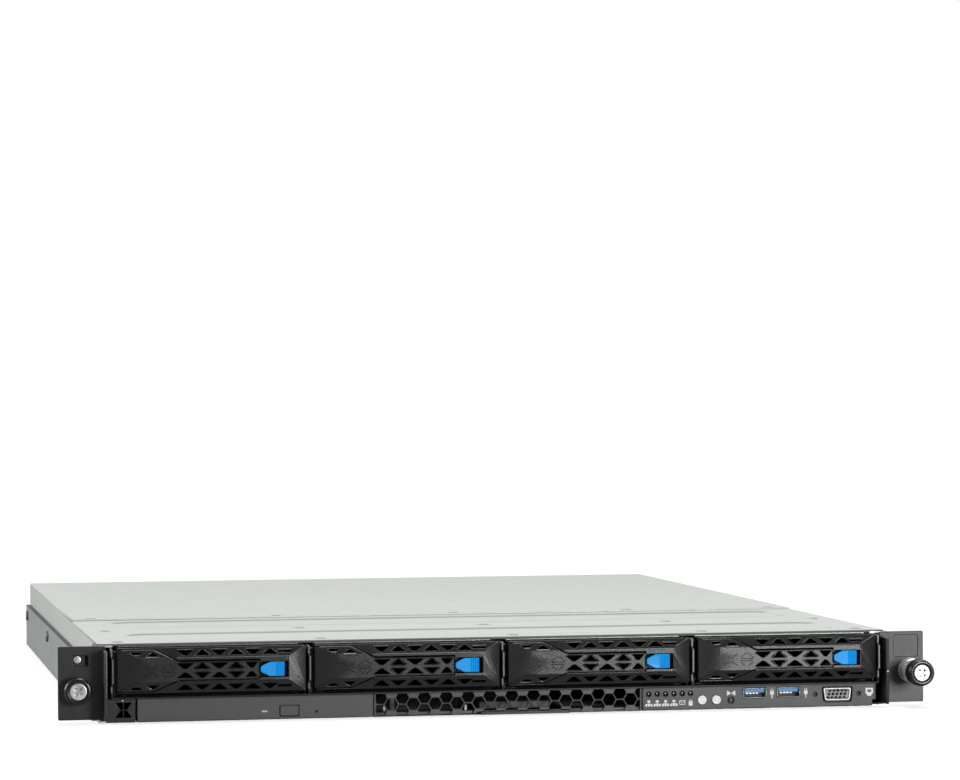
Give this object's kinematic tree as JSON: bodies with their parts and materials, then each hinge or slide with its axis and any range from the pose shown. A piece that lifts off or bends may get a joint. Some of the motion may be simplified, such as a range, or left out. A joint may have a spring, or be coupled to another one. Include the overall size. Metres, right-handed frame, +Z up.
{
  "type": "1u rack server",
  "caption": "Flat rack-mount server with ears and thumbscrews, lever-latched drive carriers, disc drive, honeycomb vent, control panel, fans and plug-in power supplies.",
  "frame": {"origin": "underside of the chassis on its centre line, in the plane of the rack ears' rear faces", "axes": "+X across to the right as seen from the front, +Y from the front to the rear, +Z up"},
  "size_m": [0.4826, 0.6483, 0.0429],
  "materials": {
    "galvanised": "zinc-coated sheet, faint spangle, satin",
    "screw_steel": "bright plated steel",
    "ear_black": "fine textured satin black",
    "knob_black": "black knurled cap on a steel screw",
    "carrier_black": "fine textured black moulding",
    "latch_blue": "blue moulding",
    "drive_casting": "cast and stamped drive case",
    "fan_black": "black moulding",
    "board_green": "circuit board",
    "bezel_black": "satin black moulding",
    "panel_grey": "dark grey satin panel",
    "button_white": "white keys",
    "socket_shell": "nickel-plated shells",
    "lamp_clear": "clear light pipes",
    "heatsink_aluminium": "skived fins",
    "supply_case": "plated sheet case",
    "release_green": "green release tab"
  },
  "bodies": {
    "chassis": {"chassis_base": "galvanised", "rear_panel": "galvanised", "front_top_cover": "galvanised", "left_slide_rail": "galvanised", "right_slide_rail": "galvanised", "drive_cage": "galvanised", "optical_drive_body": "galvanised", "cover_screws": "screw_steel", "ear_pin": "screw_steel", "thumbscrew_collars": "screw_steel", "rail_studs": "screw_steel", "left_ear": "ear_black", "right_ear": "ear_black", "fan_frames": "fan_black", "backplane_board": "board_green", "io_board": "board_green", "motherboard": "board_green", "memory_modules": "board_green", "corner_vent": "bezel_black", "vent_grille": "bezel_black", "io_panel": "panel_grey", "usb_ports": "socket_shell", "vga_port": "socket_shell", "led_lenses": "lamp_clear", "cpu_heatsink": "heatsink_aluminium"},
    "lid": {"rear_top_cover": "galvanised"},
    "left_sleeve": {"left_screw_sleeve": "screw_steel"},
    "right_sleeve": {"right_screw_sleeve": "screw_steel"},
    "left_screw": {"left_thumbscrew": "knob_black"},
    "right_screw": {"right_thumbscrew": "knob_black"},
    "carrier_1": {"drive_tray_1": "carrier_black", "hard_drive_1": "drive_casting"},
    "lever_1": {"tray_lever_1": "carrier_black"},
    "latch_1": {"latch_button_1": "latch_blue"},
    "rotor_1": {"fan_rotor_1": "fan_black"},
    "carrier_2": {"drive_tray_2": "carrier_black", "hard_drive_2": "drive_casting"},
    "lever_2": {"tray_lever_2": "carrier_black"},
    "latch_2": {"latch_button_2": "latch_blue"},
    "rotor_2": {"fan_rotor_2": "fan_black"},
    "carrier_3": {"drive_tray_3": "carrier_black", "hard_drive_3": "drive_casting"},
    "lever_3": {"tray_lever_3": "carrier_black"},
    "latch_3": {"latch_button_3": "latch_blue"},
    "rotor_3": {"fan_rotor_3": "fan_black"},
    "carrier_4": {"drive_tray_4": "carrier_black", "hard_drive_4": "drive_casting"},
    "lever_4": {"tray_lever_4": "carrier_black"},
    "latch_4": {"latch_button_4": "latch_blue"},
    "rotor_4": {"fan_rotor_4": "fan_black"},
    "disc_tray": {"optical_drive_tray": "bezel_black"},
    "eject": {"eject_button": "bezel_black"},
    "tag": {"service_tag": "bezel_black"},
    "power": {"power_button": "button_white"},
    "locate": {"locate_button": "button_white"},
    "reset": {"reset_button": "bezel_black"},
    "supply_1": {"psu_1": "supply_case"},
    "release_1": {"psu_latch_1": "release_green"},
    "supply_2": {"psu_2": "supply_case"},
    "release_2": {"psu_latch_2": "release_green"}
  },
  "joints": [
    {"name": "lid_slide", "type": "slide", "parent": "chassis", "child": "lid", "axis": [0, 1, 0], "range_m": [0, 0.012]},
    {"name": "left_screw_pull", "type": "slide", "parent": "chassis", "child": "left_sleeve", "axis": [0, -1, 0], "range_m": [0, 0.0145]},
    {"name": "left_screw_turn", "type": "hinge", "parent": "left_sleeve", "child": "left_screw", "pos_m": [-0.2312, 0, 0.0178], "axis": [0, 1, 0], "continuous": true},
    {"name": "right_screw_push", "type": "slide", "parent": "chassis", "child": "right_sleeve", "axis": [0, 1, 0], "range_m": [0, 0.0145], "stiffness_N_per_m": 300, "springref_m": -0.003},
    {"name": "right_screw_turn", "type": "hinge", "parent": "right_sleeve", "child": "right_screw", "pos_m": [0.2332, 0, 0.0196], "axis": [0, 1, 0], "continuous": true},
    {"name": "carrier_slide_1", "type": "slide", "parent": "chassis", "child": "carrier_1", "axis": [0, -1, 0], "range_m": [0, 0.16]},
    {"name": "lever_hinge_1", "type": "hinge", "parent": "carrier_1", "child": "lever_1", "pos_m": [-0.20625, -0.0095, 0.0285], "axis": [0, 0, -1], "range_deg": [0, 60]},
    {"name": "latch_slide_1", "type": "slide", "parent": "carrier_1", "child": "latch_1", "axis": [1, 0, 0], "range_m": [0, 0.002], "stiffness_N_per_m": 500, "springref_m": -0.002},
    {"name": "fan_spin_1", "type": "hinge", "parent": "chassis", "child": "rotor_1", "pos_m": [-0.15, 0.24, 0.021], "axis": [0, 1, 0], "continuous": true},
    {"name": "carrier_slide_2", "type": "slide", "parent": "chassis", "child": "carrier_2", "axis": [0, -1, 0], "range_m": [0, 0.16]},
    {"name": "lever_hinge_2", "type": "hinge", "parent": "carrier_2", "child": "lever_2", "pos_m": [-0.09975, -0.0095, 0.0285], "axis": [0, 0, -1], "range_deg": [0, 60]},
    {"name": "latch_slide_2", "type": "slide", "parent": "carrier_2", "child": "latch_2", "axis": [1, 0, 0], "range_m": [0, 0.002], "stiffness_N_per_m": 500, "springref_m": -0.002},
    {"name": "fan_spin_2", "type": "hinge", "parent": "chassis", "child": "rotor_2", "pos_m": [-0.05, 0.24, 0.021], "axis": [0, 1, 0], "continuous": true},
    {"name": "carrier_slide_3", "type": "slide", "parent": "chassis", "child": "carrier_3", "axis": [0, -1, 0], "range_m": [0, 0.16]},
    {"name": "lever_hinge_3", "type": "hinge", "parent": "carrier_3", "child": "lever_3", "pos_m": [0.00675, -0.0095, 0.0285], "axis": [0, 0, -1], "range_deg": [0, 60]},
    {"name": "latch_slide_3", "type": "slide", "parent": "carrier_3", "child": "latch_3", "axis": [1, 0, 0], "range_m": [0, 0.002], "stiffness_N_per_m": 500, "springref_m": -0.002},
    {"name": "fan_spin_3", "type": "hinge", "parent": "chassis", "child": "rotor_3", "pos_m": [0.05, 0.24, 0.021], "axis": [0, 1, 0], "continuous": true},
    {"name": "carrier_slide_4", "type": "slide", "parent": "chassis", "child": "carrier_4", "axis": [0, -1, 0], "range_m": [0, 0.16]},
    {"name": "lever_hinge_4", "type": "hinge", "parent": "carrier_4", "child": "lever_4", "pos_m": [0.11325, -0.0095, 0.0285], "axis": [0, 0, -1], "range_deg": [0, 60]},
    {"name": "latch_slide_4", "type": "slide", "parent": "carrier_4", "child": "latch_4", "axis": [1, 0, 0], "range_m": [0, 0.002], "stiffness_N_per_m": 500, "springref_m": -0.002},
    {"name": "fan_spin_4", "type": "hinge", "parent": "chassis", "child": "rotor_4", "pos_m": [0.15, 0.24, 0.021], "axis": [0, 1, 0], "continuous": true},
    {"name": "disc_tray_slide", "type": "slide", "parent": "chassis", "child": "disc_tray", "axis": [0, -1, 0], "range_m": [0, 0.1]},
    {"name": "eject_press", "type": "slide", "parent": "disc_tray", "child": "eject", "axis": [0, 1, 0], "range_m": [0, 0.0008], "stiffness_N_per_m": 400, "springref_m": -0.0005},
    {"name": "tag_slide", "type": "slide", "parent": "chassis", "child": "tag", "axis": [0, -1, 0], "range_m": [0, 0.045]},
    {"name": "power_press", "type": "slide", "parent": "chassis", "child": "power", "axis": [0, 1, 0], "range_m": [0, 0.0008], "stiffness_N_per_m": 400, "springref_m": -0.0005},
    {"name": "locate_press", "type": "slide", "parent": "chassis", "child": "locate", "axis": [0, 1, 0], "range_m": [0, 0.0008], "stiffness_N_per_m": 400, "springref_m": -0.0005},
    {"name": "reset_press", "type": "slide", "parent": "chassis", "child": "reset", "axis": [0, 1, 0], "range_m": [0, 0.0008], "stiffness_N_per_m": 400, "springref_m": -0.0005},
    {"name": "supply_slide_1", "type": "slide", "parent": "chassis", "child": "supply_1", "axis": [0, 1, 0], "range_m": [0, 0.18]},
    {"name": "release_press_1", "type": "hinge", "parent": "supply_1", "child": "release_1", "pos_m": [0.1379, 0.5813, 0.0203], "axis": [0, 0, 1], "range_deg": [0, 4], "stiffness_Nm_per_rad": 0.3, "springref_deg": -2.86},
    {"name": "supply_slide_2", "type": "slide", "parent": "chassis", "child": "supply_2", "axis": [0, 1, 0], "range_m": [0, 0.18]},
    {"name": "release_press_2", "type": "hinge", "parent": "supply_2", "child": "release_2", "pos_m": [0.2126, 0.5813, 0.0203], "axis": [0, 0, 1], "range_deg": [0, 4], "stiffness_Nm_per_rad": 0.3, "springref_deg": -2.86}
  ]
}
